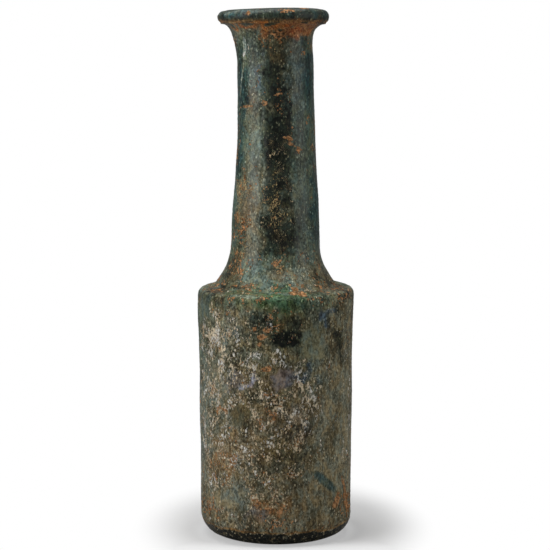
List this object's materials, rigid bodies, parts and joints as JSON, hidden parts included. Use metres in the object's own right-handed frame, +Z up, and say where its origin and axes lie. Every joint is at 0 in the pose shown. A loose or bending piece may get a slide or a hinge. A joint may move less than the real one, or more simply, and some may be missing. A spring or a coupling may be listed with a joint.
{
  "type": "glass bottle",
  "caption": "Tall blown glass bottle with a straight cylindrical body, sharp shoulder, long tapering neck and a thick turned-out lip, with burial crusts.",
  "frame": {"origin": "centre of the standing ring, on the plane that the bottle stands on", "axes": "+Z up along the body's axis to the mouth, -Y towards the pictured side, +X to that view's right"},
  "size_m": [0.0712, 0.0713, 0.24],
  "materials": {
    "body_glass": "dark green glass, weathered satin",
    "lip_glass": "dark teal glass, smooth",
    "soil": "matte rust-orange burial soil",
    "scale": "matte pale weathering scale"
  },
  "bodies": {
    "root": {"base": "body_glass", "body_wall": "body_glass", "shoulder": "body_glass", "neck": "body_glass", "lip": "lip_glass", "pontil_scar": "lip_glass", "soil_under_lip": "soil", "soil_neck_streak": "soil", "soil_neck_foot": "soil", "soil_shoulder": "soil", "soil_low_front": "soil", "soil_heel_right": "soil", "soil_heel_left": "soil", "soil_back_neck": "soil", "soil_back_foot": "soil", "scale_upper_body": "scale", "scale_mid_body": "scale", "scale_low_body": "scale", "scale_back_body": "scale"}
  },
  "joints": []
}
